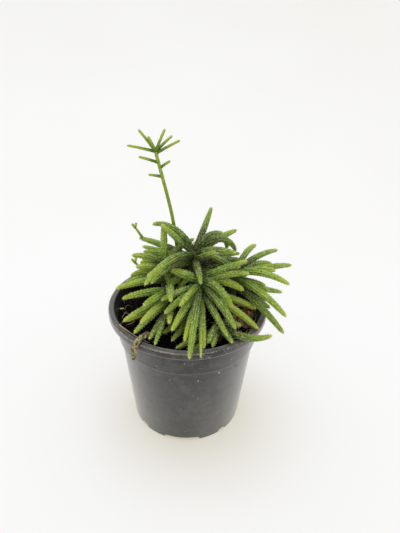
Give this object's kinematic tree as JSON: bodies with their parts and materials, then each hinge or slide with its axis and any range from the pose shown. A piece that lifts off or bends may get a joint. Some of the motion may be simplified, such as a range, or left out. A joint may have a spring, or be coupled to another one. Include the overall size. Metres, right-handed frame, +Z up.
{
  "type": "potted mistletoe cactus",
  "caption": "Small mistletoe cactus with short ribbed drooping stems and one tall thin shoot, in a round plastic nursery pot of soil.",
  "frame": {"origin": "middle of the pot's foot, on the surface that the pot stands on", "axes": "+Z up along the pot's axis, +Y towards the back of the plant, +X to its right"},
  "size_m": [0.1248, 0.1236, 0.2051],
  "materials": {
    "pot_plastic": "dark grey moulded polypropylene, slightly shiny",
    "potting_soil": "moist dark peat and coir crumbs, matte",
    "stem_flesh": "waxy green skin with low ribs",
    "shoot_flesh": "thin yellow-green young skin",
    "dry_root": "dry, knobbly, pale brown"
  },
  "bodies": {
    "root": {"pot": "pot_plastic", "soil": "potting_soil", "cane_centre": "stem_flesh", "cane_front": "stem_flesh", "cane_right": "stem_flesh", "cane_left": "stem_flesh", "cane_front_left": "stem_flesh", "cane_low": "stem_flesh", "cane_back": "stem_flesh", "long_shoot": "shoot_flesh", "dried_root": "dry_root"}
  },
  "joints": []
}
